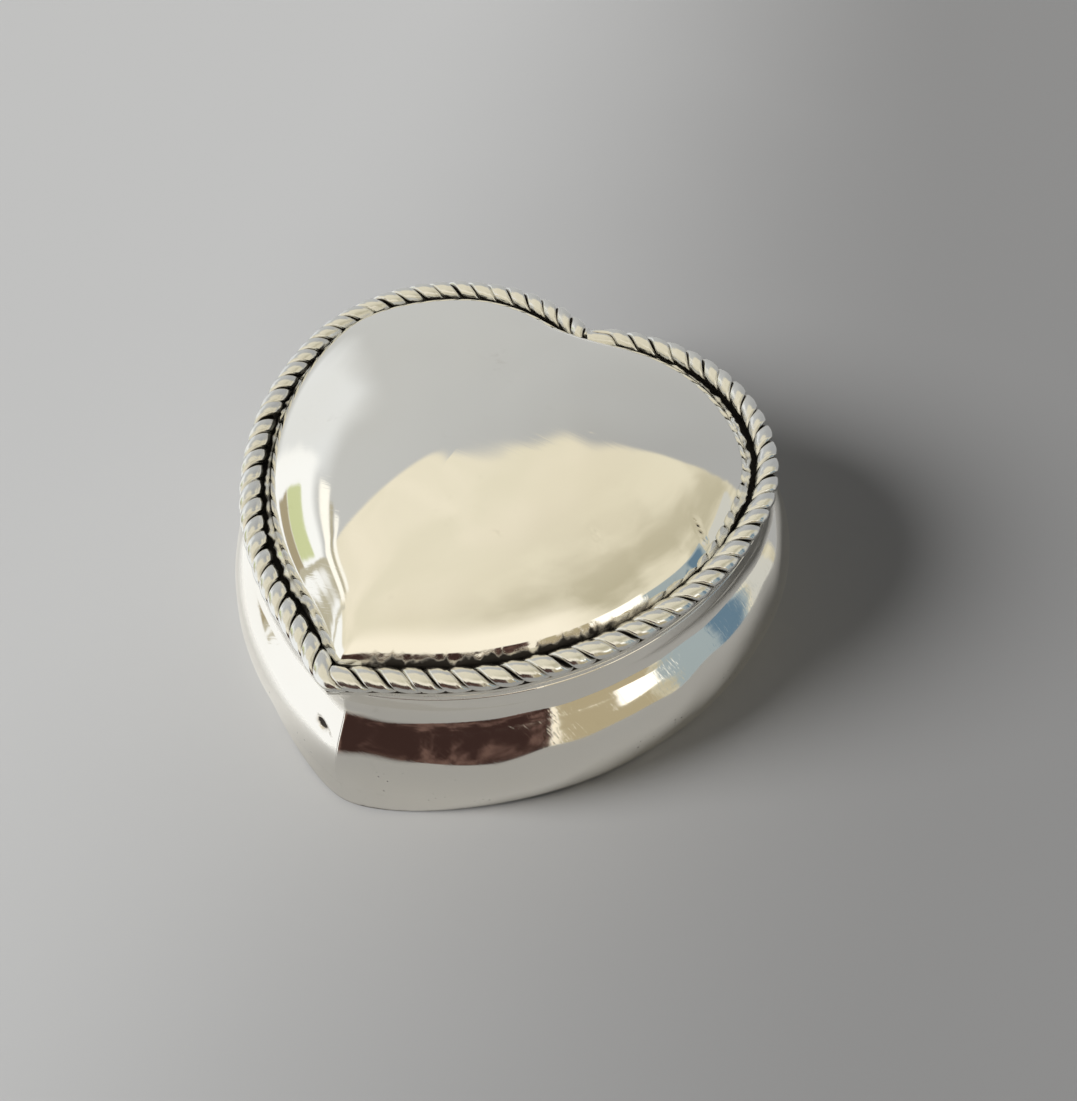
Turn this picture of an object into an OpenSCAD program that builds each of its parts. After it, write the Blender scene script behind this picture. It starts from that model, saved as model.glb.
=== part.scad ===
// Heart-shaped silver trinket box with a puffed lift-off lid and a twisted-wire border.
// Millimetres, +Z up. The origin is on the table, under the middle of the box.
// The point of the heart faces -Y and the cleft faces +Y; the box is symmetric about X = 0.

/* [Heart outline] */
// half the heart's width, measured to the middle of the wire border
half_w = 28; // [26:0.5:32]
// radius of each rounded lobe at the back
lobe_r = 18.6; // [17:0.2:20]
// radius of the long sides that run to the point
flank_r = 37; // [34:0.5:42]
// slope of the lid's short straight nose, measured from the X axis
nose_a = 27.2; // [24:0.2:30]

/* [Body] */
// thickness of the sheet the side walls are pressed from
wall_t = 0.8; // [0.5:0.1:1]
// thickness of the flat bottom sheet
base_t = 0.8; // [0.6:0.1:1.2]
// height of the mouth, where the seat ring is soldered on
mouth_z = 18.2; // [18:0.1:19]
// radius of the full, rounded belly in section
belly_r = 11.9; // [11.5:0.1:12.5]
// height of the widest part of the belly
belly_z = 6; // [5:0.25:7]
// how far the belly's arc centre lies inside the border's middle line
belly_in = 7; // [6.5:0.1:7.5]
// radius of the hollow neck under the lid, in section
neck_r = 4; // [3.6:0.1:4.4]
// height of the middle of the neck
neck_z = 16.6; // [16:0.1:17]

/* [Lid] */
// thickness of the seat ring round the mouth
seat_t = 0.7; // [0.5:0.1:1]
// thickness of the lid's flat plate
plate_t = 0.7; // [0.5:0.1:1]
// height of the puffed dome above the plate
dome_h = 10; // [8:0.25:12]
// thickness of the dome's sheet
dome_t = 0.7; // [0.5:0.1:1]
// gap between the wire border's middle line and the foot of the dome
dome_in = 1.9; // [1.8:0.05:2.4]
// depth of the locating strip below the plate
bezel_h = 2.4; // [1.5:0.1:3]
// running gap between the locating strip and the mouth
bezel_gap = 0.3; // [0.2:0.05:0.5]

/* [Twisted border] */
// radius of each of the two wires
wire_r = 0.62; // [0.5:0.01:0.63]
// distance from the rope's middle to the middle of each wire
twist_r = 0.66; // [0.65:0.01:0.75]
// full turns of the twist on each half of the heart
half_turns = 18.6; // [17:0.1:20]

/* [Hidden] */
$fn = 96;
bright = [0.86, 0.86, 0.84];
aged = [0.72, 0.72, 0.70];
seam = 0.01;                        // half the solder seam between the two walls
far = 90;                           // larger than the box
flank_x = half_w - flank_r;         // the flank arc's centre, on the widest line
lobe_x = half_w - lobe_r;           // the lobe arc's centre, on the widest line
nose_x = flank_x + flank_r * sin(nose_a);
nose_len = nose_x / cos(nose_a);
wide_y = flank_r * cos(nose_a) + nose_len * sin(nose_a);   // widest line, from the nose tip
belly_e = belly_r - belly_in;       // the belly's reach outside the border's middle line
front_y = wide_y - sqrt(pow(flank_r + belly_e, 2) - pow(flank_x, 2));
back_y = wide_y + lobe_r + belly_e;
mid_y = (front_y + back_y) / 2;
belly_c = [-belly_in, belly_z];
turn_a = asin((neck_z - belly_z) / (belly_r + neck_r));    // slope where the curves meet
neck_c = belly_c + (belly_r + neck_r) * [cos(turn_a), sin(turn_a)];
rim_e = neck_c.x - sqrt(pow(neck_r, 2) - pow(mouth_z - neck_z, 2));
foot_e = belly_c.x + sqrt(pow(belly_r, 2) - pow(belly_z - base_t, 2));
seat_in = 0.9;                      // inner edge of the seat ring
bezel_t = 0.6;
rest_gap = 0.05;                    // the lid's plate rides this far above the seat
plate_z = mouth_z + seat_t + rest_gap;
dome_z = plate_z + plate_t;
rope_r = wire_r + twist_r;
rope_z = dome_z + rope_r + 0.02;

// ---- sweeping a section, drawn as [distance outside the middle line, height] ----

module right_half(gap) { translate([gap, -far, -far]) cube([far, 2 * far, 2 * far]); }

module lobe_sweep() {
    translate([lobe_x, wide_y, 0]) rotate_extrude(angle = 140)
        translate([lobe_r, 0]) children();
}

module flank_sweep() {
    translate([flank_x, wide_y, 0]) rotate_extrude(angle = 82, start = -82)
        translate([flank_r, 0]) children();
}

// right half of the wall, whose flank runs straight on to the front of the box
module wall_half() {
    translate([0, -mid_y, 0]) intersection() {
        union() {
            lobe_sweep() children();
            flank_sweep() children();
        }
        right_half(seam);
    }
}

module strip(e0, e1, z0, z1) { translate([e0, z0]) square([e1 - e0, z1 - z0]); }

module both() {
    children();
    mirror([1, 0, 0]) children();
}

// ---- body ----

// filled heart out to distance e beyond the border's middle line; the lid's outline is
// drawn out to a sharp nose, and the body's flanks run straight on to a blunter front
module heart(e, nose = false) {
    lobe = lobe_r + e;
    flank = flank_r + e;
    slope = [sin(nose_a), -cos(nose_a)];
    translate([0, -mid_y]) both() intersection() {
        union() {
            translate([lobe_x, wide_y]) circle(r = lobe);
            // fills the valley between the lobe and the middle line
            translate([0, wide_y - 1]) square([lobe_x, 1 + sqrt(pow(lobe, 2) - pow(lobe_x, 2))]);
            intersection() {
                translate([flank_x, wide_y]) circle(r = flank);
                polygon([[flank_x, wide_y], nose ? [flank_x, wide_y] + far * slope : [0, -far],
                         [far, -far], [far, wide_y]]);
            }
            if (nose)
                polygon([[0, -e / cos(nose_a)], [flank_x, wide_y] + flank * slope, [0, wide_y]]);
        }
        translate([0, -far]) square([far, 3 * far]);
    }
}

// flat heart-shaped ring between two distances and two heights
module ring(e0, e1, z0, z1, nose = false) {
    translate([0, 0, z0]) linear_extrude(height = z1 - z0) difference() {
        heart(e1, nose);
        heart(e0, nose);
    }
}

// everything inside an S curve: a convex belly of radius r0 flowing into a neck of radius r1
module inside_curve(r0, r1) {
    translate(belly_c) circle(r = r0);
    difference() {
        polygon([belly_c, neck_c, [neck_c.x, far], [-far, far], [-far, belly_c.y]]);
        translate(neck_c) circle(r = r1);
    }
}

// the wall is a sheet of even thickness along that curve
module wall_section() {
    intersection() {
        difference() {
            inside_curve(belly_r, neck_r);
            inside_curve(belly_r - wall_t, neck_r + wall_t);
        }
        strip(belly_c.x, neck_c.x, base_t, mouth_z);
    }
}

module base_plate() { color(aged) linear_extrude(height = base_t) heart(foot_e - 0.1); }

module wall_right() { color(bright) wall_half() wall_section(); }

module wall_left() { color(bright) mirror([1, 0, 0]) wall_half() wall_section(); }

module mouth_rim() {
    color(aged) ring(-seat_in, rim_e, mouth_z, mouth_z + seat_t);
}

// ---- lid ----

module lid_plate() {
    color(aged) ring(-dome_in - dome_t, rope_r - 0.3, plate_z, dome_z, true);
}

module lid_bezel() {
    e = -seat_in - bezel_gap;
    color(aged) ring(e - bezel_t, e, plate_z - bezel_h, plate_z);
}

// the dome's foot is the lid's outline drawn in by inset; k runs from 0 at the nose
// to 1 at the cleft and gives a point on the right half
function foot_right(k, inset) =
    let (cleft_a = acos(-lobe_x / (lobe_r - inset)),
         tip_y = inset / cos(nose_a),
         l0 = nose_len - inset * tan(nose_a),
         l1 = (flank_r - inset) * (90 - nose_a) * PI / 180,
         l2 = (lobe_r - inset) * cleft_a * PI / 180,
         s = k * (l0 + l1 + l2))
    s < l0 ? [s * cos(nose_a), tip_y + s * sin(nose_a)]
    : s < l0 + l1 ?
        let (a = nose_a - 90 + (s - l0) / (flank_r - inset) * 180 / PI)
        [flank_x + (flank_r - inset) * cos(a), wide_y + (flank_r - inset) * sin(a)]
    : let (a = (s - l0 - l1) / (lobe_r - inset) * 180 / PI)
        [lobe_x + (lobe_r - inset) * cos(a), wide_y + (lobe_r - inset) * sin(a)];

// q runs from 0 to 2: up the right side from the nose to the cleft, then down the left
function foot(q, inset) =
    q <= 1 ? foot_right(q, inset) : let (p = foot_right(2 - q, inset)) [-p.x, p.y];

crown_y = 29;                       // the top of the dome, from the nose tip
dome_n = 88;                        // points round the dome
dome_m = 11;                        // rings from its foot to its top
swell = 2.3;                        // fullness of the dome's shoulder

// a point on the dome: j = 0 is the foot, j = dome_m would be the crown
function dome_pt(i, j, inset, h) =
    let (f = foot(2 * i / dome_n, inset),
         r = cos(90 * pow(j / dome_m, 1.15)))
    [f.x * r, crown_y + (f.y - crown_y) * r - mid_y,
     dome_z + h * sqrt(max(0, 1 - pow(r, swell)))];

module lid_dome() {
    outer = [for (j = [0 : dome_m - 1]) for (i = [0 : dome_n - 1])
             dome_pt(i, j, dome_in, dome_h)];
    inner = [for (j = [0 : dome_m - 1]) for (i = [0 : dome_n - 1])
             dome_pt(i, j, dome_in + dome_t, dome_h - dome_t)];
    top = [0, crown_y - mid_y, dome_z + dome_h];
    under = [0, crown_y - mid_y, dome_z + dome_h - dome_t];
    count = dome_n * dome_m;
    function at(i, j, base) = base + j * dome_n + i % dome_n;
    faces = concat(
        [for (j = [0 : dome_m - 2]) for (i = [0 : dome_n - 1]) for (t = [0, 1])
            t == 0 ? [at(i, j, 0), at(i + 1, j + 1, 0), at(i + 1, j, 0)]
                   : [at(i, j, 0), at(i, j + 1, 0), at(i + 1, j + 1, 0)]],
        [for (j = [0 : dome_m - 2]) for (i = [0 : dome_n - 1]) for (t = [0, 1])
            t == 0 ? [at(i, j, count), at(i + 1, j, count), at(i + 1, j + 1, count)]
                   : [at(i, j, count), at(i + 1, j + 1, count), at(i, j + 1, count)]],
        [for (i = [0 : dome_n - 1]) [at(i, dome_m - 1, 0), 2 * count, at(i + 1, dome_m - 1, 0)]],
        [for (i = [0 : dome_n - 1])
            [at(i, dome_m - 1, count), at(i + 1, dome_m - 1, count), 2 * count + 1]],
        [for (i = [0 : dome_n - 1]) for (t = [0, 1])
            t == 0 ? [at(i, 0, 0), at(i + 1, 0, 0), at(i + 1, 0, count)]
                   : [at(i, 0, 0), at(i + 1, 0, count), at(i, 0, count)]]);
    color(bright) polyhedron(points = concat(outer, inner, [top, under]), faces = faces);
}

// ---- twisted border ----

tip_r = 1.5;                        // the rope turns the nose on this radius
tip_len = tip_r * nose_a * PI / 180;
nose_free = nose_len - tip_r * tan(nose_a);
flank_len = flank_r * (90 - nose_a) * PI / 180;
rope_end_x = rope_r * lobe_x / lobe_r + 0.04;     // the ends stop just short of each other
lobe_end_a = acos((rope_end_x - lobe_x) / lobe_r);
rope_half = tip_len + nose_free + flank_len + lobe_r * lobe_end_a * PI / 180;
per_turn = 8;                       // sections in each turn of a wire
wire_n = 7;                         // sides of a wire
rope_m = round(2 * half_turns * per_turn);

// [x, y, heading] of the rope's middle line at distance s from the tip, right half
function rope_right(s) =
    s < tip_len ?
        let (a = s / tip_r * 180 / PI)
        [tip_r * sin(a), tip_r / cos(nose_a) - tip_r * cos(a), a]
    : s < tip_len + nose_free ?
        let (d = s - tip_len + tip_r * tan(nose_a))
        [d * cos(nose_a), d * sin(nose_a), nose_a]
    : s < tip_len + nose_free + flank_len ?
        let (a = nose_a + (s - tip_len - nose_free) / flank_r * 180 / PI)
        [flank_x + flank_r * sin(a), wide_y - flank_r * cos(a), a]
    : let (a = 90 + (s - tip_len - nose_free - flank_len) / lobe_r * 180 / PI)
        [lobe_x + lobe_r * sin(a), wide_y - lobe_r * cos(a), a];

function rope_at(s) =
    s >= 0 ? rope_right(s) : let (p = rope_right(-s)) [-p.x, p.y, -p[2]];

// one wire winds round the middle line; phase sets where it starts
module strand(phase) {
    step = 2 * rope_half / rope_m;
    pitch = rope_half / half_turns;
    climb = atan(2 * PI * twist_r / pitch);
    points = [for (i = [0 : rope_m])
        let (s = -rope_half + i * step, p = rope_at(s), turn = phase - 360 * s / pitch,
             out = [sin(p[2]), -cos(p[2]), 0], along = [cos(p[2]), sin(p[2]), 0],
             radial = out * cos(turn) + [0, 0, 1] * sin(turn),
             round_dir = -out * sin(turn) + [0, 0, 1] * cos(turn),
             side = along * sin(climb) + round_dir * cos(climb),
             mid = [p.x, p.y - mid_y, rope_z] + twist_r * radial)
        for (k = [0 : wire_n - 1])
            mid + wire_r * (radial * cos(360 * k / wire_n) + side * sin(360 * k / wire_n))];
    faces = concat(
        [for (i = [0 : rope_m - 1]) for (k = [0 : wire_n - 1]) for (t = [0, 1])
            let (a = i * wire_n + k, b = i * wire_n + (k + 1) % wire_n)
            t == 0 ? [a, b, b + wire_n] : [a, b + wire_n, a + wire_n]],
        [[for (k = [wire_n - 1 : -1 : 0]) k]],
        [[for (k = [0 : wire_n - 1]) rope_m * wire_n + k]]);
    polyhedron(points = points, faces = faces);
}

module rope_strand_a() { color(bright) strand(0); }

module rope_strand_b() { color(bright) strand(180); }

base_plate();
wall_left();
wall_right();
mouth_rim();
lid_plate();
lid_bezel();
lid_dome();
rope_strand_a();
rope_strand_b();
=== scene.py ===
# %% [markdown]
# # Heart-shaped silver trinket box
# A small box of silver sheet: two pressed side walls that meet in a crease at the point, a flat
# bottom, and a lift-off lid with a puffed top inside a border of twisted wire. Lengths are worked
# out in millimetres and turned into metres as each piece is made.

# %% Frame
import math

import bmesh
import bpy
import numpy as np
from mathutils import Matrix, Vector


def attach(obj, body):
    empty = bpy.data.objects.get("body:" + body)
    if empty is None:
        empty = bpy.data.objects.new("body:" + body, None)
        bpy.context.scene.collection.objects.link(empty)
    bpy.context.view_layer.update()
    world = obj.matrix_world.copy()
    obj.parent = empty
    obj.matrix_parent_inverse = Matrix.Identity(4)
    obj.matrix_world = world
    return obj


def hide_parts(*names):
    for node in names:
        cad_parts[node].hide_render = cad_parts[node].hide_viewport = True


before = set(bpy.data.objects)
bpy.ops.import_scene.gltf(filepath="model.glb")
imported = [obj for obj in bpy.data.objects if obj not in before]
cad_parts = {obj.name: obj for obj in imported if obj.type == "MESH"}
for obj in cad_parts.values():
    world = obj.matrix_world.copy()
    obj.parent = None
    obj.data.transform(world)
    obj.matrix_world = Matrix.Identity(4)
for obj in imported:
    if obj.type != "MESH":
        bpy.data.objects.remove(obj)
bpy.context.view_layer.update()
MM = 0.001

# %% [markdown]
# ## The heart's outline
# The silversmith's template is drawn with arcs: a lobe, a long flank and, on the lid only, a short
# straight nose. Every piece follows this line at some distance e outside it. A Bezier curve drawn
# by hand for each piece could look the same, but one function gives them all and they nest as the
# real sheets do.

# %% Outline
HALF_W, LOBE_R, FLANK_R, NOSE_A = 28.0, 18.6, 37.0, math.radians(27.2)
LOBE_X, FLANK_X = HALF_W - LOBE_R, HALF_W - FLANK_R
NOSE_LEN = (FLANK_X + FLANK_R * math.sin(NOSE_A)) / math.cos(NOSE_A)
WIDE_Y = FLANK_R * math.cos(NOSE_A) + NOSE_LEN * math.sin(NOSE_A)
BELLY_E = 4.9
FRONT_Y = WIDE_Y - math.sqrt((FLANK_R + BELLY_E) ** 2 - FLANK_X ** 2)
MID_Y = (FRONT_Y + WIDE_Y + LOBE_R + BELLY_E) / 2


def outline(q, e, nose):
    """Points and outward normals of the heart at distance e outside its line, in mm. q runs from 0
    at the point to 1 at the cleft up the right side, and on to 2 back down the left. Each of the
    stretches (straight nose, flank arc, lobe arc) takes a share of q equal to its share of the
    length, and its ends are worked out for that e, so that the two sides always meet at x = 0."""
    q, e = np.broadcast_arrays(np.asarray(q, float), np.asarray(e, float))
    side, k = np.where(q <= 1, 1.0, -1.0), np.where(q <= 1, q, 2 - q)
    cleft = np.arccos(-LOBE_X / (LOBE_R + e))
    start = (NOSE_A - math.pi / 2) + 0 * e if nose else -np.arccos(-FLANK_X / (FLANK_R + e))
    l0 = NOSE_LEN if nose else 0.0
    l1 = FLANK_R * (math.pi / 2 - NOSE_A if nose else math.acos(-FLANK_X / FLANK_R))
    l2 = LOBE_R * math.acos(-LOBE_X / LOBE_R)
    k1, k2 = l0 / (l0 + l1 + l2), (l0 + l1) / (l0 + l1 + l2)
    a1 = start * (1 - (k - k1) / (k2 - k1))
    a2 = cleft * (k - k2) / (1 - k2)
    d = (NOSE_LEN + e * math.tan(NOSE_A)) * k / max(k1, 1e-9)
    on_nose, on_flank = k < k1, k < k2
    x = np.where(on_nose, d * math.cos(NOSE_A), np.where(
        on_flank, FLANK_X + (FLANK_R + e) * np.cos(a1), LOBE_X + (LOBE_R + e) * np.cos(a2)))
    y = np.where(on_nose, d * math.sin(NOSE_A) - e / math.cos(NOSE_A), WIDE_Y + np.where(
        on_flank, (FLANK_R + e) * np.sin(a1), (LOBE_R + e) * np.sin(a2)))
    nx = np.where(on_nose, math.sin(NOSE_A), np.where(on_flank, np.cos(a1), np.cos(a2)))
    ny = np.where(on_nose, -math.cos(NOSE_A), np.where(on_flank, np.sin(a1), np.sin(a2)))
    return x * side, y - MID_Y, nx * side, ny


wide = outline(np.linspace(0, 2, 2001), BELLY_E, False)
print(f"heart at the belly: {np.ptp(wide[0]):.1f} wide, {np.ptp(wide[1]):.1f} deep, mm")

# %% [markdown]
# ## Making a piece
# Each piece is a grid of points given by a formula. The grid is closed on itself where the sheet
# is, its open ends are capped, and the faces are turned to look outward. Cubes and cylinders could
# be pushed into shape by modifiers, but a grid lets the material be told where each point lies.

# %% Mesh helper
def quads(rows, cols, wrap_r=False, wrap_c=False):
    """Faces of a rows by cols grid of points, joined round where a direction wraps."""
    r = np.arange(rows if wrap_r else rows - 1)[:, None]
    c = np.arange(cols if wrap_c else cols - 1)[None, :]
    r2, c2 = (r + 1) % rows, (c + 1) % cols
    return np.stack([r * cols + c + 0 * r, r * cols + c2, r2 * cols + c2, r2 * cols + c],
                    -1).reshape(-1, 4)


def piece(name, points, faces, node, body, layers=None, uv=None):
    """A mesh object from points in mm and faces, riding on a body in place of a CAD node. layers
    are numbers kept at each point for the material, and uv is a pair of mm lengths at each."""
    mesh = bpy.data.meshes.new(name)
    mesh.from_pydata((points.reshape(-1, 3) * MM).tolist(), [], [list(f) for f in faces])
    for key, values in (layers or {}).items():
        kept = mesh.attributes.new(key, "FLOAT", "POINT")
        kept.data.foreach_set("value", np.ravel(values).astype(np.float32))
    if uv is not None:
        corner = np.empty(len(mesh.loops), int)
        mesh.loops.foreach_get("vertex_index", corner)
        mesh.uv_layers.new(name="lengths").data.foreach_set(
            "uv", (uv.reshape(-1, 2)[corner] * MM).ravel().astype(np.float32))
    obj = bpy.data.objects.new(name, mesh)
    bpy.context.scene.collection.objects.link(obj)
    work = bmesh.new()
    work.from_mesh(mesh)
    bmesh.ops.recalc_face_normals(work, faces=work.faces)
    work.to_mesh(mesh)
    work.free()
    mesh.shade_smooth()
    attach(obj, body)
    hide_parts(node)
    size = np.ptp(points.reshape(-1, 3), axis=0)
    print(f"{name}: {len(mesh.polygons)} faces, {size[0]:.1f} x {size[1]:.1f} x {size[2]:.1f} mm")
    return obj


def ease(x, lo, hi):
    """0 below lo, 1 above hi, and a smooth S between."""
    t = np.clip((np.asarray(x, float) - lo) / (hi - lo), 0, 1)
    return t * t * (3 - 2 * t)


rng = np.random.default_rng(7)


def waves(x, y, wavelength, count=9):
    """A gentle unevenness near 1 in size: the mean of some plane waves in random directions, all of
    about the same wavelength."""
    turn, phase = rng.uniform(0, 2 * math.pi, (2, count))
    k = 2 * math.pi / (wavelength * rng.uniform(0.7, 1.5, count))
    return sum(np.sin((x * np.cos(a) + y * np.sin(a)) * f + p)
               for a, f, p in zip(turn, k, phase)) / math.sqrt(count / 2)


# %% [markdown]
# ## Side walls
# Each wall is half of the S-shaped band. It was pressed from sheet: a full belly flows up into a
# hollow neck that runs nearly straight up to the lid. The two sheets meet at the point in a crease
# that is crisp at the shoulder and softens to a rounded corner near the table, because the silver
# was dressed down there after soldering. The section is two arcs, swept along the outline. Small
# waves of a few hundredths of a millimetre are what make its reflections swim as hand-worked
# silver's do. An array or a lattice could bend a flat strip round, but a formula keeps the two
# halves meeting exactly.

# %% Wall section
BELLY_C, BELLY_R, NECK_R, NECK_Z, MOUTH_Z = np.array([-7.0, 6.0]), 11.9, 4.0, 16.6, 18.2
TURN = math.asin((NECK_Z - BELLY_C[1]) / (BELLY_R + NECK_R))
NECK_C = BELLY_C + (BELLY_R + NECK_R) * np.array([math.cos(TURN), math.sin(TURN)])
WALL_T = 0.8


def wall_section(t, inset):
    """Distance outside the line and height at t, from 0 at the mouth to 1 at the foot, on the sheet's
    face that lies inset mm in: the neck's arc, then the belly's."""
    top, foot = math.asin((MOUTH_Z - NECK_Z) / NECK_R), -math.asin((BELLY_C[1] - 0.14) / BELLY_R)
    share = NECK_R * (top + TURN) / (NECK_R * (top + TURN) + BELLY_R * (TURN - foot))
    b = top - (top + TURN) * np.clip(t / share, 0, 1)
    a = TURN + (foot - TURN) * np.clip((t - share) / (1 - share), 0, 1)
    neck = np.stack([NECK_C[0] - (NECK_R + inset) * np.cos(np.minimum(b, 0)),
                     NECK_C[1] + (NECK_R + inset * (b < 0)) * np.sin(b)], -1)
    neck[:, 0] -= 0.18 * np.maximum(neck[:, 1] - NECK_Z, 0)
    belly = BELLY_C + (BELLY_R - inset) * np.stack([np.cos(a), np.sin(a)], -1)
    return np.where((t < share)[:, None], neck, belly)


# %% Walls
def bell(p, at, along, long_r, wide_r):
    """1 at the place 'at', falling off as a bell that is long_r mm long in the direction along and
    wide_r mm wide."""
    d = p - np.array(at)
    along = np.array(along) / np.linalg.norm(along)
    a = d @ along
    rest = np.sum(d * d, -1) - a * a
    return np.exp(-(a / long_r) ** 2 - rest / wide_r ** 2)


def dent(p, at, along, long_r, wide_r, depth, push):
    """Pushes points near 'at' by depth along push, falling off as a bell."""
    return p + (depth * bell(p, at, along, long_r, wide_r))[..., None] * np.array(push)


def dressed(y, z, x):
    """Near the point the two sheets were dressed together: the belly sits lower there and is drawn in
    a little, and the foot runs out to the table. Both effects die away along the walls."""
    near = np.exp(-(x / 13.0) ** 2)
    y = y + (0.8 - 2.5 * (1 - ease(z, -1.0, 5.0))) * near * ease(MOUTH_Z + 0.4 - z, 0.0, 3.0)
    z = z - 1.6 * ease(z, 0.3, 7.0) * ease(MOUTH_Z - z, 0.0, 5.5) * near
    return y, z


# a ding beside the crease on the left: its place and direction, and where its painted shade sits from
# there
DING, DING_ALONG = np.array([-2.5, -29.1, 10.6]), (2.4, -1.1, -0.9)
DING_SHADE = np.array([-0.2, 0.0, 0.1])
WALL_LEN, SECTION_LEN = 84.0, 24.0


def wall(name, node, side):
    """One wall sheet: rows run from the point to the cleft, and columns go down the outside from the
    mouth and back up the inside."""
    rows, half = 420, 84
    q = ((np.arange(rows) / (rows - 1)) ** 1.25)[:, None]
    t = np.linspace(0, 1, half)
    outer, inner = wall_section(t, 0.0), wall_section(t, WALL_T)
    section = np.concatenate([outer, inner[::-1]])
    e, z = section[:, 0][None, :], section[:, 1][None, :]
    z = z + 0 * q
    length = q * WALL_LEN
    x, y, nx, ny = outline(q, e + 0 * q, False)
    swim = 0.035 * waves(length, z, 13) + 0.018 * waves(length, z, 6)
    swim *= ease(z, 0.3, 3) * ease(MOUTH_Z - z, 0.3, 3) * ease(x, 0.0, 2.5)
    x, y = x + swim * nx, y + swim * ny
    # the crease: crisp at the shoulder, soft near the foot, and leaning out all the way down
    slope = -FLANK_X / (FLANK_R + e)
    soft = 0.12 + 2.2 * (1 - ease(z, 0.5, 6.5))
    y = y + slope * (np.sqrt(x * x + soft * soft) - x)
    y, z = dressed(y, z, x)
    x = side * (x + 0.01)
    p = np.stack([x, y, z], -1)
    ding_shade = 0.0
    if side < 0:
        # painted shade: a dark patch is painted in the ding, off its middle, where the dent is in shade
        ding_shade = 1.8 * bell(p, DING + DING_SHADE, DING_ALONG, 0.8, 0.34)
        p = dent(p, DING, DING_ALONG, 1.15, 0.5, 0.5, (0.3, 0.95, -0.1))
    cols = section.shape[0]
    faces = quads(rows, cols, wrap_c=True).tolist()
    for r in (0, rows - 1):
        base = r * cols
        faces += [[base + i, base + i + 1, base + cols - 2 - i, base + cols - 1 - i]
                  for i in range(half - 1)]
    inside = np.broadcast_to((np.arange(cols) >= half).astype(float), (rows, cols))
    # painted shade: the outer face is darkened along its foot, where it meets the table
    contact_shade = (1 - ease(z, 0.1, 1.1)) * (1 - inside)
    run = np.linspace(0, SECTION_LEN, half)
    run = np.concatenate([run, SECTION_LEN + run])
    uv = np.stack(np.broadcast_arrays(length, run[None, :]), -1)
    return piece(name, p, faces, node, "box",
                 {"inside": inside, "crevice": np.clip(contact_shade * 0.7 + ding_shade, 0, 1)}, uv)


walls = [wall("side_wall_left", "wall_left", -1), wall("side_wall_right", "wall_right", 1)]

# %% [markdown]
# ## Flat rings and the bottom
# The seat ring, the lid's flat plate and the locating strip are strips of sheet cut or bent to the
# heart. Their edges are broken with a file, so the section is a rounded rectangle. The bottom is
# one flat sheet let in between the walls' feet. A Bevel modifier could round them, but a swept
# section also wanders a little in height, as a strip bent by hand does.

# %% Rings
def rounded(e0, e1, z0, z1, r, per_corner=5):
    """A closed rectangle section from e0 to e1 and z0 to z1 with corners of radius r."""
    turn = np.linspace(0, math.pi / 2, per_corner)
    corners = [(e1 - r, z1 - r, 0), (e0 + r, z1 - r, 1), (e0 + r, z0 + r, 2), (e1 - r, z0 + r, 3)]
    return np.concatenate([np.stack([cx + r * np.cos(turn + n * math.pi / 2),
                                     cz + r * np.sin(turn + n * math.pi / 2)], -1)
                           for cx, cz, n in corners])


def ring(name, node, body, section, nose, wobble=0.0, steps=720, dark=None):
    """A section swept right round the heart, with its height and distance wandering by wobble."""
    q = (np.arange(steps) * 2 / steps)[:, None]
    e, z = section[:, 0][None, :], section[:, 1][None, :]
    length = q * 88 + 0 * e
    e = e + wobble * waves(length, 0 * length, 9)
    x, y, _, _ = outline(q, e, nose)
    z = z + 0.4 * wobble * waves(length, 0 * length, 14)
    p = np.stack([x, y, z], -1)
    run = np.linspace(0, 8, section.shape[0])[None, :] + 0 * length
    crevice = np.zeros(p.shape[:2]) if dark is None else dark(section)[None, :] + 0 * length
    return piece(name, p, quads(steps, section.shape[0], True, True), node, body,
                 {"crevice": crevice, "inside": np.ones(p.shape[:2])},
                 np.stack([length, run], -1))


SEAT_T, PLATE_T, PLATE_Z = 0.7, 0.7, 18.95
LID_Z = PLATE_Z + PLATE_T
seat = ring("seat_ring", "mouth_rim", "box", rounded(-0.9, 0.60, MOUTH_Z, MOUTH_Z + SEAT_T, 0.08),
            False, 0.02)
# painted shade: the top face of the lid plate is darkened, where it lies under the border and the puffed
# top
plate = ring("lid_flange", "lid_plate", "lid", rounded(-2.6, 0.66, PLATE_Z, LID_Z, 0.16), True, 0.02,
             dark=lambda s: ease(s[:, 1], LID_Z - 0.2, LID_Z))
strip = ring("locating_strip", "lid_bezel", "lid",
             rounded(-1.8, -1.2, PLATE_Z - 2.4, PLATE_Z, 0.14), False, 0.015)

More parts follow.
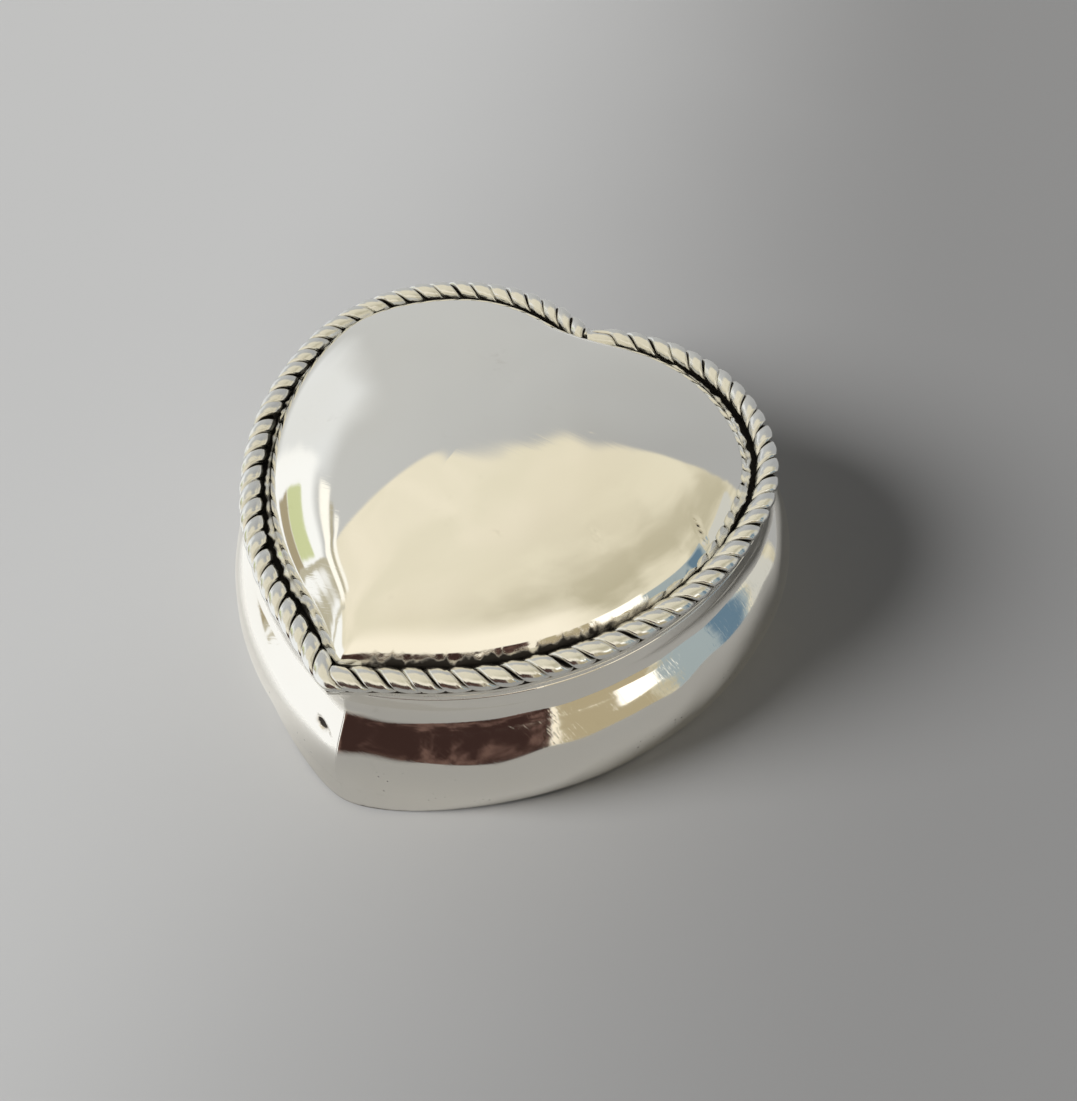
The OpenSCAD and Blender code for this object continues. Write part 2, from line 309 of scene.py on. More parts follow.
# %% Bottom sheet
def bottom_sheet():
    """A flat heart with rounded edges: rings of points from the middle out, over the edge and back,
    where each ring is the outline drawn in towards the middle."""
    steps, middle = 480, 28.0 - MID_Y
    q = np.arange(steps) * 2 / steps
    edge = 2.95
    grow = np.linspace(0.04, 1, 26)
    x, y, _, _ = outline(q, edge, False)
    flat = np.stack([x * grow[:, None], middle + (y - middle) * grow[:, None]], -1)
    sag = 0.10 * (1 - grow[:, None] ** 2) * (1 + 0.25 * waves(flat[..., 0], flat[..., 1], 22))
    bottom = np.concatenate([flat, (0.02 + sag)[..., None]], -1)
    top = np.concatenate([flat, (0.86 + sag)[..., None]], -1)
    top[-1, :, 2] -= 0.12
    p = np.concatenate([bottom, top[::-1]])
    faces = quads(p.shape[0], steps, wrap_c=True).tolist()
    faces += [list(range(steps)), list(range((p.shape[0] - 1) * steps, p.shape[0] * steps))]
    # painted shade: the sheet is darkened round its edge, above and below, where it meets the walls' feet
    # and the table
    crevice = np.concatenate([ease(grow, 0.93, 1), ease(grow[::-1], 0.9, 1)])[:, None] + 0 * q
    return piece("bottom_sheet", p, faces, "base_plate", "box",
                 {"crevice": crevice, "inside": np.ones(p.shape[:2])}, p[..., :2])


bottom = bottom_sheet()

# %% [markdown]
# ## The puffed top
# Raised from one sheet over a stake: it leaves the plate almost upright, turns over a full
# shoulder and closes in a low crown. A soft ridge runs in from the point and a valley from the
# cleft, and both die away. Rings of the heart's outline that turn rounder as they shrink give
# just that. It could be sculpted instead, but on polished silver the smallest lump shows, and a
# formula has only the lumps it is given. A little planishing unevenness, a pit and a nick finish it.

# %% Dome
DOME_T, DOME_H, CROWN_Y, SWELL = 0.7, 10.0, 29.0 - MID_Y, 2.3
NOSE_SLOPE, CLEFT_SLOPE = math.tan(NOSE_A), 0.68
# small marks: place and direction in plan, half length, half width, depth
DOME_MARKS = [((16.2, -5.3, 0), (1.0, -0.5, 0), 0.45, 0.28, 0.10),
              ((17.1, -6.0, 0), (0.7, -0.7, 0), 0.50, 0.16, 0.03),
              ((24.0, 2.4, 0), (1.0, -0.55, 0), 1.20, 0.25, 0.10),
              ((10.9, 4.4, 0), (1.0, 0.0, 0), 0.20, 0.20, 0.06)]


def apart(q):
    """0 where the foot all but touches the border, along the right front, and 1 where it stands off
    from it, at the back and up the left."""
    x, y, _, _ = outline(q, 0, True)
    return np.maximum(ease(y, -2, 12), ease(-x, -1, 9))


def dome_ring(q, r, inset, h):
    """Points of the ring that lies at r of the way from the crown (0) to the foot (1). The heart's
    outline gives way to an oval as r falls. A short upright skirt turns over a full shoulder."""
    fx, fy, _, _ = outline(q, -inset, True)
    fy = fy - CROWN_Y
    far = np.hypot(fx, fy)
    oval = 1 / np.sqrt((fx / far / 25.5) ** 2 + (fy / far / 24.5) ** 2)
    mix = ((1 - r) ** 1.6) * 0.9
    grow = r * ((1 - mix) * far + mix * oval) / far
    x, y = fx * grow, fy * grow
    # the ridge from the point and the valley from the cleft are rounded more and more on the way in
    keep = np.where(fy < 0, NOSE_SLOPE * ease(-fy, 4, 14), CLEFT_SLOPE * ease(fy, 4, 12)) * (1 - mix)
    soft = np.where(fy < 0, 0.3, 1.3) + 9 * (1 - r)
    keep = keep * ease(r, 0.0, 0.6)
    y = y + keep * (np.sqrt(x * x + soft * soft) - np.abs(x)) * np.exp(-(x / (2.2 * soft)) ** 2)
    near, back = 1 - apart(q), ease(fy + CROWN_Y, 12, 24)
    skirt = 0.2 + 1.7 * near
    rise = np.clip(1 - np.clip(r / 0.9985, 0, 1) ** SWELL, 0, 1) ** (
        0.5 + 0.2 * near + 0.1 * back)
    return x, y + CROWN_Y, LID_Z + skirt * ease(1 - r, 0, 0.0012) + (h - skirt) * rise


def dome():
    """The outer and inner faces of the sheet, joined at the foot, with a lumpy run of solder where it
    meets the plate: there the outer face flares outward by an amount that wanders."""
    steps, rings = 480, 96
    q = (np.arange(steps) * 2 / steps)[None, :]
    r = np.cos(np.linspace(0, 1, rings - 12) ** 1.1 * math.pi / 2 * 0.9985)
    r = np.concatenate([np.linspace(1, 0.9985, 13)[:-1], 0.9985 * r])[:, None]
    off = apart(q)
    foot = 1.24 + 0.38 * off + 0.35 * ease(outline(q, 0, True)[1], 12, 24)
    sheets = []
    for inset, h in ((foot, DOME_H), (foot + DOME_T, DOME_H - DOME_T)):
        x, y, z = dome_ring(q, r, inset, h)
        uneven = 0.05 * waves(x, y, 17) + 0.012 * waves(x, y, 6.5)
        z = z + uneven * (1 - r ** 8)
        sheets.append(np.stack([x, y, z], -1))
    outer, inner = sheets
    run, up = q * 82 + 0 * r, outer[..., 2] - LID_Z
    lumps = 1 + 0.30 * waves(run, 0 * run, 1.9, 14) + 0.25 * waves(run, 0 * run, 0.8, 14)
    _, _, nx, ny = outline(q, -foot, True)
    reach = 1.45 + 0.22 * waves(run, 0 * run, 6)
    flare = (0.05 + 0.24 * off) * lumps * np.exp(-((up - 1.25 * reach) / 0.30) ** 2)
    outer[..., 0] += flare * nx
    outer[..., 1] += flare * ny
    plan = outer * (1, 1, 0)
    for at, along, long_r, wide_r, depth in DOME_MARKS:
        outer = outer + dent(plan, at, along, long_r, wide_r, depth, (0, 0, -1)) - plan
    nick = bell(plan, *DOME_MARKS[2][:2], 1.2, 0.16)
    p = np.concatenate([outer[::-1], inner])
    total = p.shape[0]
    faces = quads(total, steps, wrap_c=True).tolist()
    faces += [list(range(steps)), list(range((total - 1) * steps, total * steps))]
    inside = np.concatenate([1 - ease(up[::-1], 1.9, 2.5), np.ones_like(up)])
    # painted shade: the top's foot is darkened in the gutter inside the border, with a painted dark line
    # beside the solder at the back and left, and a taller ragged band at the front right; the nick is
    # blackened as well
    line = np.exp(-((up - reach * 1.65) / 0.16) ** 2) * 0.5 * off
    gutter_shade_and_nick = np.clip(1 - ease(up, 1.25 - 0.5 * off, 1.75 - 0.3 * off) + line, 0, 1)
    x, y = outer[..., 0], outer[..., 1]
    front = np.exp(-((x - 13) / 16) ** 2) * ease(-y, 0, 8) * (x > 2)
    ragged = 1 - ease(up + 0.45 * (lumps - 1), 2.0, 3.4)
    gutter_shade_and_nick = np.maximum(np.maximum(gutter_shade_and_nick, nick), front * ragged)
    crevice = np.concatenate([gutter_shade_and_nick[::-1], np.zeros_like(gutter_shade_and_nick)])
    return piece("puffed_top", p, faces, "lid_dome", "lid",
                 {"crevice": crevice, "inside": inside}, p[..., :2])


top = dome()

# %% [markdown]
# ## The twisted border
# Two wires twisted tightly together and rolled, so that each fills half of a round section, then
# bent round the lid and soldered down. One turning section swept along the border's line makes
# each. A Screw or a Curve modifier could twist a wire too, but it would have to be bent round the
# tight turn at the point afterwards. Crowns are bright from handling, and the grooves black, and
# the underside is painted dark as shade where it sits on the plate.

# %% Border wires
ROPE_R, ROPE_Z, TIP_R, HALF_TURNS = 1.28, LID_Z + 1.30, 1.5, 18.6
TIP_L, NOSE_FREE = TIP_R * NOSE_A, NOSE_LEN - TIP_R * math.tan(NOSE_A)
FLANK_L = FLANK_R * (math.pi / 2 - NOSE_A)
LOBE_L = LOBE_R * math.acos((0.12 - LOBE_X) / LOBE_R)
ROPE_L = TIP_L + NOSE_FREE + FLANK_L + LOBE_L


def border_line(s):
    """Points and headings of the border's middle line at s mm from its turn at the point, where s
    is negative up the left side."""
    side, s = np.sign(s) + (s == 0), np.abs(s)
    a = np.where(s < TIP_L, s / TIP_R, NOSE_A)
    d = s - TIP_L + TIP_R * math.tan(NOSE_A)
    u = (s - TIP_L - NOSE_FREE) / FLANK_R + NOSE_A
    w = (s - TIP_L - NOSE_FREE - FLANK_L) / LOBE_R + math.pi / 2
    where = [s < TIP_L, s < TIP_L + NOSE_FREE, s < TIP_L + NOSE_FREE + FLANK_L]
    x = np.select(where, [TIP_R * np.sin(a), d * math.cos(NOSE_A), FLANK_X + FLANK_R * np.sin(u)],
                  LOBE_X + LOBE_R * np.sin(w))
    y = np.select(where, [TIP_R / math.cos(NOSE_A) - TIP_R * np.cos(a), d * math.sin(NOSE_A),
                          WIDE_Y - FLANK_R * np.cos(u)], WIDE_Y - LOBE_R * np.cos(w))
    heading = np.select(where, [a, a, u], w)
    return x * side, y - MID_Y, heading * side


def pressed_half(count):
    """The section of a wire that fills half of the border's round: a half disc with its two corners
    rounded, in parts of ROPE_R, as distances along its middle and across it. The crown bows a
    little more than the disc does, and points are spread evenly by angle about its own middle."""
    gap, corner, middle, bow = 0.03, 0.37, 0.47, 0.07
    reach = 1 - corner
    bend = math.acos((gap + corner) / reach)
    fine = np.linspace(0, 1, 900)
    crown = (2 * fine - 1) * bend
    bowed = 1 - bow * (crown / bend) ** 2
    crown = np.stack([np.cos(crown) * bowed, np.sin(crown) * bowed], -1)
    round_1 = bend + fine * (math.pi - bend)
    fade = 1 - bow * (1 - fine) ** 2
    round_1 = np.stack([(reach * math.cos(bend) + corner * np.cos(round_1)) * fade,
                        (reach * math.sin(bend) + corner * np.sin(round_1)) * fade], -1)
    round_2 = round_1[::-1] * (1, -1)
    loop = np.concatenate([crown, round_1, round_2])
    angle = np.arctan2(loop[:, 1], loop[:, 0] - middle)
    order = np.argsort(angle)
    wanted = -math.pi + (np.arange(count) + 0.5) * 2 * math.pi / count
    return np.stack([np.interp(wanted, angle[order], loop[order, i], period=2 * math.pi)
                     for i in (0, 1)], -1)


def wire(name, node, phase):
    """One wire of the border: the pressed half section, turning about the border's line as it goes
    round, and tapering at both ends where it was cut at the cleft."""
    per_turn, sides = 46, 30
    n = int(2 * HALF_TURNS * per_turn)
    s = np.linspace(-ROPE_L, ROPE_L, n)
    x, y, heading = border_line(s)
    pitch = ROPE_L / HALF_TURNS
    turn = phase - 2 * math.pi * s / pitch + 0.13 * waves(s, 0 * s, 11) + 0.05 * waves(s, 0 * s, 4)
    turn = turn + 2.6 * ease(s, ROPE_L - 3.2, ROPE_L)
    half = pressed_half(sides)
    taper = 0.82 + 0.18 * ease(ROPE_L - abs(s), 0, 0.9)
    size = ROPE_R * (0.985 + 0.012 * waves(s, 0 * s, 2.6)) * taper
    zero = np.zeros(n)
    out = np.stack([np.sin(heading), -np.cos(heading), zero], -1)
    up = np.stack([zero, zero, zero + 1], -1)
    radial = out * np.cos(turn)[:, None] + up * np.sin(turn)[:, None]
    across = up * np.cos(turn)[:, None] - out * np.sin(turn)[:, None]
    mid = np.stack([x, y, ROPE_Z + zero], -1)
    turned = half[None, :, 0, None] * radial[:, None, :] + half[None, :, 1, None] * across[:, None, :]
    p = mid[:, None, :] + size[:, None, None] * turned
    faces = quads(n, sides, wrap_c=True).tolist()
    faces += [list(range(sides)), list(range((n - 1) * sides, n * sides))]
    rho = np.linalg.norm(half, axis=-1)[None, :] + 0 * size[:, None]
    # the grooves are blackened as oxide; painted shade: the underside, where the wire sits on the plate,
    # is darkened too
    contact_shade = 1 - ease(p[..., 2], LID_Z + 0.15, LID_Z + 0.75)
    groove_oxide_and_shade = np.clip(1 - ease(rho, 0.62, 0.84) + 0.6 * contact_shade, 0, 1)
    uv = np.stack(np.broadcast_arrays(s[:, None], np.linspace(0, 6, sides)[None, :]), -1)
    return piece(name, p, faces, node, "lid",
                 {"crevice": groove_oxide_and_shade, "inside": 0 * groove_oxide_and_shade}, uv)


wires = [wire("border_wire_a", "rope_strand_a", 0.0), wire("border_wire_b", "rope_strand_b", math.pi)]

# %% [markdown]
# ## Silver
# Hand-polished silver is nearly a mirror, but not an even one. Shared effects are groups: fine
# hairlines from a polishing cloth, a soft unevenness of polish, pinholes from old wear, and black
# and brown: tarnish where a cloth can't reach, in the border's grooves, and painted shade at the
# feet, in gaps between parts and in the ding. The crevice and inside layers say where that is.
# The dark could be found from the mesh's own hollows, but a layer puts it just where it belongs.

# %% Node helpers
def add(tree, kind, links=None, **settings):
    """A node of a kind in tree, with its settings, and its inputs set to numbers or joined."""
    made = tree.nodes.new(kind)
    for key, value in settings.items():
        setattr(made, key, value)
    for key, value in (links or {}).items():
        if isinstance(value, bpy.types.NodeSocket):
            tree.links.new(value, made.inputs[key])
        else:
            made.inputs[key].default_value = value
    return made


def group(name, outputs):
    """An empty node group with float outputs, and its end node."""
    tree = bpy.data.node_groups.new(name, "ShaderNodeTree")
    for out in outputs:
        tree.interface.new_socket(out, in_out="OUTPUT", socket_type="NodeSocketFloat")
    return tree, add(tree, "NodeGroupOutput")


def math_node(tree, op, a, b=0.0, c=0.0, clamp=False):
    return add(tree, "ShaderNodeMath", {0: a, 1: b, 2: c}, operation=op, use_clamp=clamp).outputs[0]


def combine(tree, op, values):
    """All the values taken together by one math operation, two at a time."""
    total = values[0]
    for value in values[1:]:
        total = math_node(tree, op, total, value)
    return total


def blend(tree, mask, under, over):
    """The colour under where mask is 0, and over where it is 1."""
    return add(tree, "ShaderNodeMix", {0: mask, 6: under, 7: over}, data_type="RGBA").outputs[2]


def span(tree, value, lo, hi, to_lo=0.0, to_hi=1.0):
    """Carries value from lo..hi to to_lo..to_hi, held at the ends."""
    return add(tree, "ShaderNodeMapRange", {0: value, 1: lo, 2: hi, 3: to_lo, 4: to_hi},
               interpolation_type="SMOOTHSTEP").outputs[0]


def noise(tree, where, scale, detail=3.0, rough=0.5, distortion=0.0):
    return add(tree, "ShaderNodeTexNoise", {"Vector": where, "Scale": scale, "Detail": detail,
                                            "Roughness": rough, "Distortion": distortion}).outputs[0]


# %% Shared effects
def hairlines():
    """Fine scratches: noise drawn out very long in a few directions, of which only the peaks show."""
    tree, out = group("hairlines", ["Height"])
    where = add(tree, "ShaderNodeTexCoord").outputs["Object"]
    lines = []
    for turn, long, fine in ((0.35, 60, 5200), (-0.6, 45, 4300), (1.2, 80, 6100), (2.3, 50, 3800)):
        laid = add(tree, "ShaderNodeMapping", {"Vector": where, "Rotation": (0.15, 0.1, turn),
                                               "Scale": (long, fine, 900)}).outputs[0]
        lines.append(span(tree, noise(tree, laid, 1.0, 2.0), 0.60, 0.78))
    total = combine(tree, "ADD", lines)
    patch = span(tree, noise(tree, where, 70, 2.0), 0.35, 0.7, 0.25, 1.0)
    tree.links.new(math_node(tree, "MULTIPLY", total, patch), out.inputs["Height"])
    return tree


def pinholes():
    """Tiny pits low on the walls: the middles of small random cells, a few of which are open."""
    tree, out = group("pinholes", ["Mask"])
    where = add(tree, "ShaderNodeTexCoord").outputs["Object"]
    cells = add(tree, "ShaderNodeTexVoronoi", {"Vector": where, "Scale": 1100.0, "Randomness": 1.0})
    dot = span(tree, cells.outputs["Distance"], 0.05, 0.16, 1.0, 0.0)
    pick = span(tree, noise(tree, where, 260, 1.0), 0.53, 0.61)
    height = add(tree, "ShaderNodeSeparateXYZ", {0: where}).outputs[2]
    pick = math_node(tree, "MULTIPLY", pick, span(tree, height, 0.007, 0.009, 1.0, 0.0))
    tree.links.new(math_node(tree, "MULTIPLY", dot, pick), out.inputs["Mask"])
    return tree


def tarnish_and_shade():
    """Black where the crevice layer is deep, with a ragged edge that noise eats into, and brown haze
    where it is less deep. The layer is oxide in the border's grooves and painted shade elsewhere,
    so both outputs are partly painted shade.
    """
    tree, out = group("tarnish_and_shade", ["Mask", "HazeAndShade"])
    where = add(tree, "ShaderNodeTexCoord").outputs["Object"]
    deep = add(tree, "ShaderNodeAttribute", attribute_name="crevice").outputs["Fac"]
    ragged = noise(tree, where, 700, 6.0, 0.65)
    broad = noise(tree, where, 120, 2.0, 0.5)
    mixed = combine(tree, "ADD", [deep, math_node(tree, "MULTIPLY_ADD", ragged, 0.9, -0.45),
                                  math_node(tree, "MULTIPLY_ADD", broad, 0.7, -0.35)])
    tree.links.new(span(tree, mixed, 0.52, 0.80), out.inputs["Mask"])
    tree.links.new(span(tree, mixed, 0.15, 0.75), out.inputs["HazeAndShade"])
    return tree


GROUPS = {"hairlines": hairlines(), "pinholes": pinholes(), "tarnish_and_shade": tarnish_and_shade()}
print("shared effects:", ", ".join(GROUPS))


def shared(tree, name):
    """The outputs of one of the shared effects, put into a material's tree."""
    return add(tree, "ShaderNodeGroup", node_tree=GROUPS[name]).outputs


# %% Silver's colour, polish and relief
# black and brown for tarnish, which also paint shade where the crevice layer holds it
BLACK_TARNISH_AND_SHADE, BROWN_HAZE_AND_SHADE = (0.022, 0.018, 0.015, 1), (0.36, 0.29, 0.20, 1)


def silver_colour(tree, where, tint, haze_and_shade, black):
    """The tint, yellowed a little in clouds, brown where there is haze and black in the tarnish; the
    brown and the black are partly painted shade.
    """
    aged = (tint[0] * 0.95, tint[1] * 0.93, tint[2] * 0.89, 1)
    cloud = span(tree, noise(tree, where, 45, 3.0), 0.3, 0.75, 0.0, 0.55)
    worn = blend(tree, cloud, (*tint, 1), aged)
    # painted shade: brown and black follow the crevice layer, partly tarnish and partly shade
    hazed_and_shaded = blend(tree, math_node(tree, "MULTIPLY", haze_and_shade, 0.55), worn, BROWN_HAZE_AND_SHADE)
    return blend(tree, black, hazed_and_shaded, BLACK_TARNISH_AND_SHADE)


def silver_roughness(tree, where, polish, inner_polish, hairs, haze_and_shade, black):
    """From polish outside to inner_polish where the inside layer is 1, with patches that the cloth
    missed, and duller on scratches, haze and tarnish."""
    inside = add(tree, "ShaderNodeAttribute", attribute_name="inside").outputs["Fac"]
    rough = add(tree, "ShaderNodeMix", {0: inside, 2: polish, 3: inner_polish},
                data_type="FLOAT").outputs[0]
    missed = span(tree, noise(tree, where, 60, 4.0, 0.6), 0.4, 0.8, 0, 0.07)
    rough = combine(tree, "ADD", [rough, missed, math_node(tree, "MULTIPLY", hairs, 0.03),
                                  math_node(tree, "MULTIPLY", haze_and_shade, 0.18)])
    return math_node(tree, "ADD", rough, math_node(tree, "MULTIPLY", black, 0.3), clamp=True)


def silver_relief(tree, where, hair, hairs, haze_and_shade, pit):
    """The bump: hairlines and pits cut in, and a crust of dirt stands up where there is haze."""
    height = math_node(tree, "MULTIPLY", hairs, -hair)
    if pit is not None:
        height = math_node(tree, "SUBTRACT", height, math_node(tree, "MULTIPLY", pit, 2.0))
    crust = math_node(tree, "MULTIPLY", noise(tree, where, 1500, 5.0, 0.7), 3.0)
    height = math_node(tree, "ADD", height, math_node(tree, "MULTIPLY", haze_and_shade, crust))
    return add(tree, "ShaderNodeBump", {"Height": height, "Strength": 0.35,
                                        "Distance": 0.00002}).outputs[0]


# %% Silver materials
def silver(name, tint, polish, inner_polish, hair, pitted):
    """Silver with its tint; polish is the roughness outside and inner_polish where the inside layer
    is 1; hair is how much the hairlines stand out."""
    mat = bpy.data.materials.new(name)
    mat.use_nodes = True
    tree = mat.node_tree
    tree.nodes.clear()
    where = add(tree, "ShaderNodeTexCoord").outputs["Object"]
    hairs, dark_outputs = shared(tree, "hairlines")["Height"], shared(tree, "tarnish_and_shade")
    pit = shared(tree, "pinholes")["Mask"] if pitted else None
    haze_and_shade, black = dark_outputs["HazeAndShade"], dark_outputs["Mask"]
    if pitted:
        black = math_node(tree, "MAXIMUM", black, pit)
    shader = add(tree, "ShaderNodeBsdfPrincipled", {
        "Base Color": silver_colour(tree, where, tint, haze_and_shade, black),
        "Metallic": math_node(tree, "MULTIPLY_ADD", black, -0.75, 1.0),
        "Roughness": silver_roughness(tree, where, polish, inner_polish, hairs, haze_and_shade, black),
        "Normal": silver_relief(tree, where, hair, hairs, haze_and_shade, pit)})
    add(tree, "ShaderNodeOutputMaterial", {"Surface": shader.outputs[0]})
    return mat


TOP = silver("polished top silver", (0.955, 0.95, 0.925), 0.05, 0.30, 0.13, False)
SIDES = silver("polished side silver", (0.955, 0.945, 0.92), 0.04, 0.26, 0.35, True)
SATIN = silver("satin silver", (0.86, 0.85, 0.81), 0.18, 0.24, 1.4, True)
BORDER = silver("oxidised border silver", (0.85, 0.86, 0.86), 0.17, 0.2, 0.8, False)
for made, mat in (([top], TOP), (walls + [seat], SIDES), ([plate, strip, bottom], SATIN), (wires, BORDER)):
    for obj in made:
        obj.data.materials.append(mat)
    print(mat.name, "on", ", ".join(obj.name for obj in made))

# %% [markdown]
# ## Table, light and camera
# A pale table in a plain room: soft window light from the left, a cream ceiling, pale walls and a
# darker stretch low down in front. The table has the window's light painted on it, and a painted
# reflection tone that only the silver sees. Polished silver shows little of its own, so these broad
# plain fields are what give the surface its shape. Real panels could be built round the box, but
# patches in the world's own sky need no geometry and can't get into the view.

# %% Table
def table():
    """A wide pale plane with painted light: lighter to the left where the window is, darker to the
    right and back. In the silver's reflections it shows a painted reflection tone, greyer except to
    the left of the box, and ends a hand's width away, as a small table would, so that the room low
    down shows in the belly."""
    mesh = bpy.data.meshes.new("table")
    r, z = 3.0, -0.00004
    mesh.from_pydata([(-r, -r, z), (r, -r, z), (r, r, z), (-r, r, z)], [], [(0, 1, 2, 3)])
    obj = bpy.data.objects.new("table", mesh)
    bpy.context.scene.collection.objects.link(obj)
    mat = bpy.data.materials.new("pale table")
    mat.use_nodes = True
    tree = mat.node_tree
    tree.nodes.clear()
    where = add(tree, "ShaderNodeTexCoord").outputs["Object"]
    x, y, _ = add(tree, "ShaderNodeSeparateXYZ", {0: where}).outputs
    cloudy = math_node(tree, "MULTIPLY", noise(tree, where, 9, 3.0), 0.02)
    # painted light: the table is painted darker away from the window, to the right and back
    across = combine(tree, "ADD", [x, math_node(tree, "MULTIPLY", y, 0.25), cloudy])
    painted_falloff = span(tree, across, -0.05, 0.07)
    tone = blend(tree, painted_falloff, (0.72, 0.725, 0.73, 1), (0.35, 0.35, 0.355, 1))
    # painted reflection: rays reflected off the silver see the table in a darker grey, pale only to the
    # left of the box
    mirror = add(tree, "ShaderNodeLightPath").outputs["Is Glossy Ray"]
    painted_reflection = blend(tree, span(tree, x, -0.018, -0.004), (0.86, 0.855, 0.83, 1), (0.46, 0.455, 0.44, 1))
    tone = blend(tree, mirror, tone, painted_reflection)
    shader = add(tree, "ShaderNodeBsdfPrincipled", {"Base Color": tone, "Roughness": 0.75})
    clear = add(tree, "ShaderNodeBsdfTransparent")
    away = math_node(tree, "SQRT", math_node(tree, "ADD", math_node(tree, "MULTIPLY", x, x),
                                             math_node(tree, "MULTIPLY", y, y)))
    lean = math_node(tree, "ADD", math_node(tree, "MULTIPLY", x, -0.75),
                     math_node(tree, "MULTIPLY", y, -0.66))
    far = math_node(tree, "MAXIMUM", span(tree, away, 0.078, 0.084), span(tree, lean, 0.034, 0.05))
    mixed = add(tree, "ShaderNodeMixShader", {0: math_node(tree, "MULTIPLY", far, mirror),
                                              1: shader.outputs[0], 2: clear.outputs[0]})
    add(tree, "ShaderNodeOutputMaterial", {"Surface": mixed.outputs[0]})
    obj.data.materials.append(mat)
    print(f"table: {2 * r:.1f} m across, top at {z / MM:.2f} mm")


table()

# %% Room
# colour, turn from and to, rise from and to, and softness, all in degrees: the window and what
# shows round it, then what stands low down to the right
WINDOW_SIDE = [((0.80, 0.81, 0.80, 1), -116, -99, -9, 26, 12),
               ((1.0, 1.0, 0.97, 1), -97, -15, -35, 25, 5),
               ((1.10, 1.06, 0.95, 1), -92, -66, 31, 35, 1.5),
               ((0.45, 0.41, 0.30, 1), -88, -68, 36.5, 38, 1.2),
               ((1.05, 1.02, 0.92, 1), -86, -68, 40, 42, 1.2),
               ((0.62, 0.66, 0.36, 1), -87, -71, 4, 18, 1.5),
               ((0.40, 0.34, 0.22, 1), -87, -69, -9, 2, 1.5),
               ((0.50, 0.46, 0.34, 1), -68, -66.5, -9, 30, 1.0),
               ((0.60, 0.56, 0.44, 1), -63.5, -62.5, -9, 34, 1.0)]
RIGHT_SIDE = [((0.45, 0.38, 0.24, 1), 54, 84, -25, 17, 1.2),
              ((1.5, 1.45, 1.3, 1), 72, 87, 6, 18, 2.5),
              ((0.36, 0.42, 0.43, 1), 89, 116, -25, 15, 1.0),
              ((0.13, 0.21, 0.28, 1), 106, 113, -25, 12, 2.5),
              ((0.62, 0.61, 0.55, 1), 119, 131, -25, 10, 1.5)]


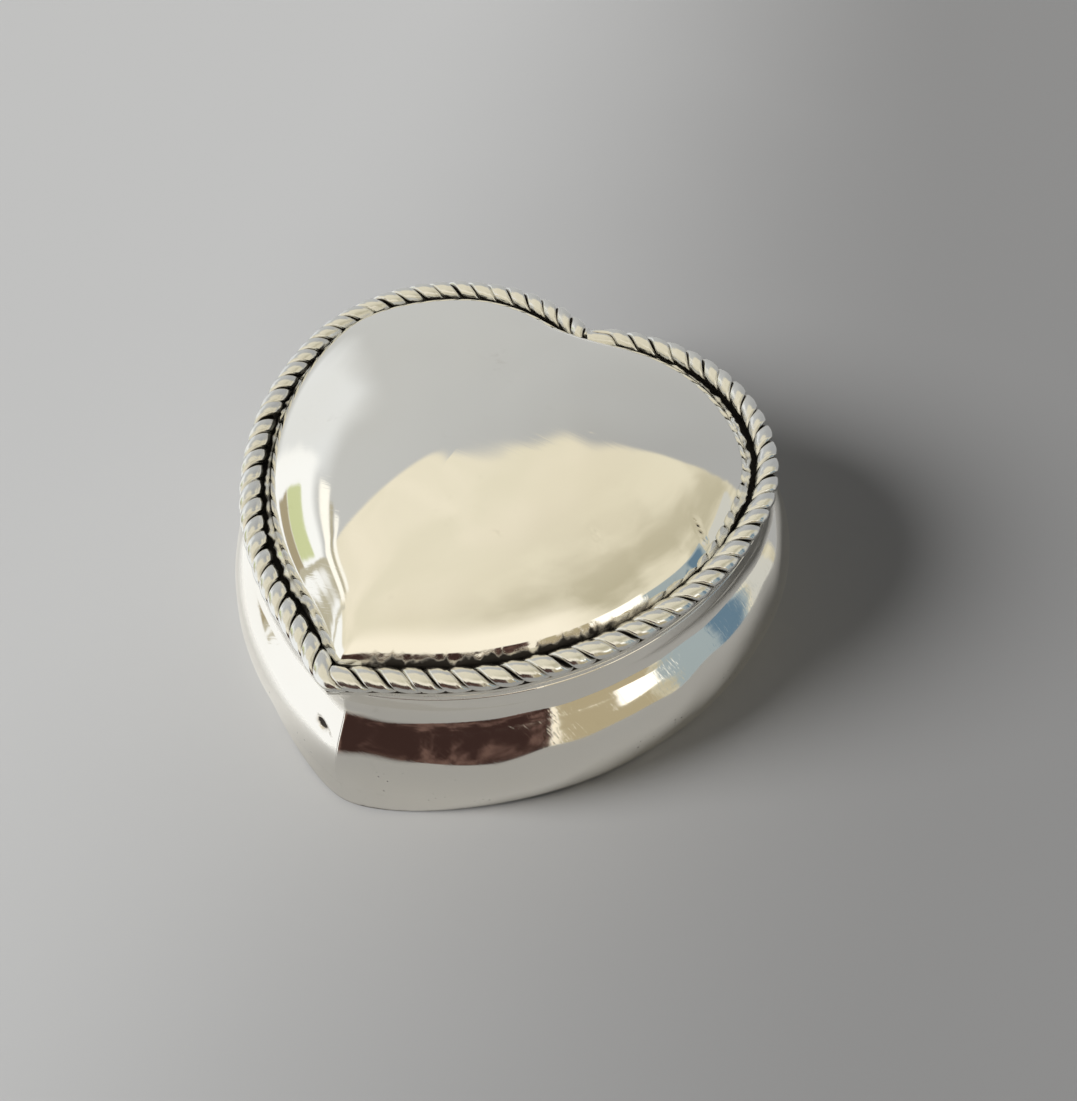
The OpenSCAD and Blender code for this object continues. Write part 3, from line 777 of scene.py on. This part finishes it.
def room():
    """The room as seen from the box, in compass terms: turn is the angle from the front (-Y) towards
    the right (+X), and rise the angle above the table. Each field is a soft-edged patch of turn and
    rise. The camera itself sees only a plain pale tone."""
    world = bpy.data.worlds.new("room")
    bpy.context.scene.world = world
    world.use_nodes = True
    tree = world.node_tree
    tree.nodes.clear()
    way = add(tree, "ShaderNodeTexCoord").outputs["Generated"]
    x, y, z = add(tree, "ShaderNodeSeparateXYZ", {0: way}).outputs
    deg = 180 / math.pi
    turn = math_node(tree, "MULTIPLY", math_node(tree, "ARCTAN2", x, math_node(
        tree, "MULTIPLY", y, -1.0)), deg)
    rise = math_node(tree, "MULTIPLY", math_node(tree, "ARCSINE", z), deg)
    swirl = math_node(tree, "MULTIPLY", math_node(tree, "SUBTRACT", noise(tree, way, 3.0, 3.0), 0.5), 8)
    turn, rise = math_node(tree, "ADD", turn, swirl), math_node(tree, "ADD", rise, math_node(
        tree, "MULTIPLY", swirl, 0.35))

    def patch(t0, t1, r0, r1, soft):
        """1 inside t0..t1 and r0..r1, fading over soft degrees."""
        edges = [span(tree, turn, t0 - soft, t0), span(tree, turn, t1, t1 + soft, 1.0, 0.0),
                 span(tree, rise, r0 - soft, r0), span(tree, rise, r1, r1 + soft, 1.0, 0.0)]
        return combine(tree, "MULTIPLY", edges)

    ceiling = blend(tree, span(tree, x, -0.35, 0.95), (0.90, 0.825, 0.655, 1), (0.50, 0.455, 0.32, 1))
    mottle = span(tree, noise(tree, way, 2.2, 4.0), 0.35, 0.65)
    look = blend(tree, mottle, ceiling, (0.80, 0.74, 0.57, 1))
    look = blend(tree, patch(5, 58, -5, 34, 22), look, (1.0, 0.92, 0.75, 1))
    # the pale back of the room: a wide soft-edged rounded field behind and to the left
    off = math_node(tree, "WRAP", math_node(tree, "ADD", turn, 142), 180, -180)
    off = math_node(tree, "DIVIDE", off, 82.0)
    high = math_node(tree, "DIVIDE", math_node(tree, "MAXIMUM", rise, 0.0), 57.0)
    edge = math_node(tree, "ADD", math_node(tree, "POWER", math_node(tree, "ABSOLUTE", off), 4.0),
                     math_node(tree, "POWER", high, 2.0))
    behind = blend(tree, span(tree, x, -0.75, 0.35), (0.56, 0.56, 0.54, 1), (0.42, 0.42, 0.41, 1))
    look = blend(tree, span(tree, edge, 1.06, 0.94), look, behind)
    hung = add(tree, "ShaderNodeMapping", {"Vector": way, "Scale": (9, 9, 2.5)}).outputs[0]
    folds = span(tree, noise(tree, hung, 1.0, 3.0, 0.6), 0.48, 0.66)
    cloth = blend(tree, folds, (0.042, 0.022, 0.018, 1), (0.150, 0.088, 0.070, 1))
    for colour, *bounds in WINDOW_SIDE + [(cloth, -11, 50, -25, 19, 1.0)] + RIGHT_SIDE:
        look = blend(tree, patch(*bounds), look, colour)
    flat = add(tree, "ShaderNodeBackground", {"Color": (0.62, 0.62, 0.61, 1), "Strength": 1.0})
    seen = add(tree, "ShaderNodeBackground", {"Color": look, "Strength": 1.0})
    which = add(tree, "ShaderNodeLightPath").outputs["Is Camera Ray"]
    soft = add(tree, "ShaderNodeBackground", {"Color": (0.9, 0.92, 0.95, 1), "Strength": 0.14})
    matt = add(tree, "ShaderNodeLightPath").outputs["Is Diffuse Ray"]
    mixed = add(tree, "ShaderNodeMixShader", {0: matt, 1: seen.outputs[0], 2: soft.outputs[0]})
    mixed = add(tree, "ShaderNodeMixShader", {0: which, 1: mixed.outputs[0], 2: flat.outputs[0]})
    add(tree, "ShaderNodeOutputWorld", {"Surface": mixed.outputs[0]})


room()


def window_light():
    """The window's own light, even over the whole table: from the left front, a third of the way up,
    and as wide in the sky as a big window, so that the shadow is soft."""
    data = bpy.data.lights.new("window", "SUN")
    data.energy, data.angle, data.color = 3.4, math.radians(28), (1.0, 0.99, 0.97)
    obj = bpy.data.objects.new("window", data)
    bpy.context.scene.collection.objects.link(obj)
    rise, turn = math.radians(33), math.radians(-50)
    back = Vector((math.sin(turn) * math.cos(rise), -math.cos(turn) * math.cos(rise),
                   math.sin(rise)))
    obj.location = back * 0.9
    obj.rotation_mode = "QUATERNION"
    obj.rotation_quaternion = (-back).to_track_quat("-Z", "Y")
    obj.visible_glossy = False
    print(f"window light: {math.degrees(rise):.0f} degrees up, {math.degrees(data.angle):.0f} wide")


window_light()

# %% Camera
def camera():
    """Held over the right of the point, looking down at about fifty degrees, close to the box."""
    turn, rise, roll, away = math.radians(29.25), math.radians(53.17), math.radians(-0.87), 0.1072
    back = np.array([math.sin(turn) * math.cos(rise), -math.cos(turn) * math.cos(rise),
                     math.sin(rise)])
    right = np.array([math.cos(turn), math.sin(turn), 0.0])
    up = np.cross(back, right)
    right, up = (math.cos(roll) * right + math.sin(roll) * up,
                 math.cos(roll) * up - math.sin(roll) * right)
    aim = np.array([0.01015, 0.02248 - MID_Y * MM, 0.02095])
    data = bpy.data.cameras.new("camera")
    data.lens = 34.33
    data.clip_start, data.clip_end = 0.01, 20
    obj = bpy.data.objects.new("camera", data)
    bpy.context.scene.collection.objects.link(obj)
    obj.matrix_world = Matrix([[right[i], up[i], back[i], (aim + away * back)[i]] for i in range(3)]
                              + [[0, 0, 0, 1]])
    bpy.context.scene.camera = obj
    print(f"camera: {away / MM:.0f} mm from its aim, {math.degrees(rise):.0f} degrees up")


camera()
bpy.context.scene.view_settings.view_transform = "Standard"
